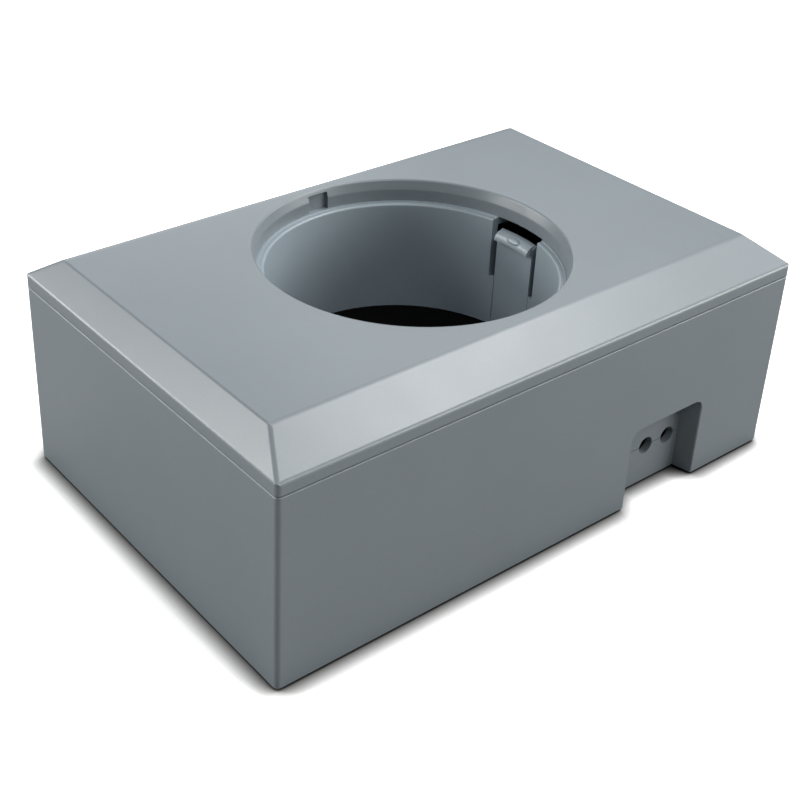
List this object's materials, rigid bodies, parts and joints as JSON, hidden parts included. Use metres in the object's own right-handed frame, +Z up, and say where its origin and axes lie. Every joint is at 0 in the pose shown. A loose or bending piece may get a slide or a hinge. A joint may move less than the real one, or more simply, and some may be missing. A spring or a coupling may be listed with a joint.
{
  "type": "desktop socket housing",
  "caption": "Chamfered desktop box with a round keyed socket in its cover, snap latch arms and a cable bay with split cable holes.",
  "frame": {"origin": "middle of the box's footprint, on the surface its feet stand on", "axes": "+X to the right along the long side, +Y to the back, +Z up; the cable bay is in the front (-Y) wall, right of the middle"},
  "size_m": [0.18, 0.119, 0.0674],
  "materials": {
    "shell": "fine spark-eroded texture",
    "sleeve": "fine texture",
    "floor": "black, matte",
    "mat": "black, matte",
    "screw_steel": "zinc plated",
    "insert_brass": "turned",
    "foot_rubber": "matte"
  },
  "bodies": {
    "housing": {"top_cover": "shell", "lower_housing": "shell", "base_plate": "shell", "socket_sleeve": "sleeve", "socket_floor": "floor", "socket_mat": "mat", "cable_clamp": "shell", "cover_screws": "screw_steel", "sleeve_screws": "screw_steel", "floor_screws": "screw_steel", "base_screws": "screw_steel", "base_inserts": "insert_brass", "clamp_screws": "screw_steel", "clamp_inserts": "insert_brass", "foot_front_left": "foot_rubber", "foot_front_right": "foot_rubber", "foot_back_left": "foot_rubber", "foot_back_right": "foot_rubber"},
    "latch_right": {"latch_arm_right": "sleeve"},
    "latch_left": {"latch_arm_left": "sleeve"}
  },
  "joints": [
    {"name": "latch_right_flex", "type": "hinge", "parent": "housing", "child": "latch_right", "pos_m": [0.0422, 0.0022, 0.0426], "axis": [0, 1, 0], "range_deg": [0, 10], "stiffness_Nm_per_rad": 2.3},
    {"name": "latch_left_flex", "type": "hinge", "parent": "housing", "child": "latch_left", "pos_m": [-0.0422, 0.0022, 0.0426], "axis": [0, -1, 0], "range_deg": [0, 10], "stiffness_Nm_per_rad": 2.3}
  ]
}
